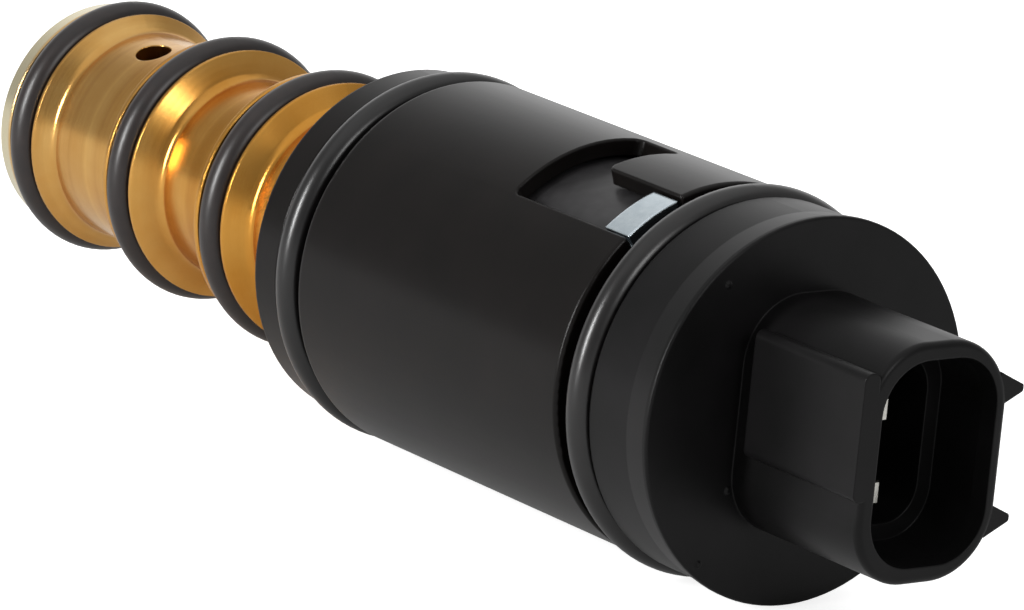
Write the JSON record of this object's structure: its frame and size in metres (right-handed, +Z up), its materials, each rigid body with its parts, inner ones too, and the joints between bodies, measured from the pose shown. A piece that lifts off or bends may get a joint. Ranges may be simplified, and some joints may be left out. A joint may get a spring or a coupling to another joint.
{
  "type": "solenoid control valve",
  "caption": "Solenoid control valve of a refrigeration compressor: stepped brass nose with O-rings, black steel can with a window, moulded cap with an oval blade connector.",
  "frame": {"origin": "on the valve's axis, in the front face of the black steel flange, where the valve seats in its stepped bore", "axes": "+X along the valve's axis from the brass nose to the connector, +Z up along the connector's long side, +Y away from the latch pad"},
  "size_m": [0.0851, 0.0234, 0.0234],
  "materials": {
    "turned_brass": "polished",
    "plug_brass": "satin",
    "seal_rubber": "matt",
    "black_steel": "satin",
    "bare_steel": "satin",
    "stainless": "satin",
    "zinc_plate": "bright",
    "spring_steel": "satin",
    "bobbin_plastic": "matt",
    "copper_wire": "gloss",
    "coil_resin": "satin",
    "stop_bronze": "satin",
    "cap_plastic": "satin",
    "tinned_brass": "bright"
  },
  "bodies": {
    "housing": {"valve_body": "turned_brass", "end_plug": "plug_brass", "nose_o_ring": "seal_rubber", "middle_o_ring": "seal_rubber", "inner_o_ring": "seal_rubber", "flange_o_ring": "seal_rubber", "cap_o_ring": "seal_rubber", "bias_spring": "spring_steel", "return_spring": "spring_steel", "front_flange": "black_steel", "housing_can": "black_steel", "fixed_core": "bare_steel", "guide_tube": "stainless", "stop_disc": "stop_bronze", "bobbin": "bobbin_plastic", "coil_winding": "copper_wire", "coil_cover": "coil_resin", "rear_pole_plate": "zinc_plate", "connector_cap": "cap_plastic", "terminal_upper": "tinned_brass", "terminal_lower": "tinned_brass"},
    "armature": {"plunger": "bare_steel", "valve_rod": "stainless"}
  },
  "joints": [
    {"name": "plunger_slide", "type": "slide", "parent": "housing", "child": "armature", "axis": [-1, 0, 0], "range_m": [0, 0.0008], "stiffness_N_per_m": 300, "deforming": ["bias_spring", "return_spring"]}
  ]
}
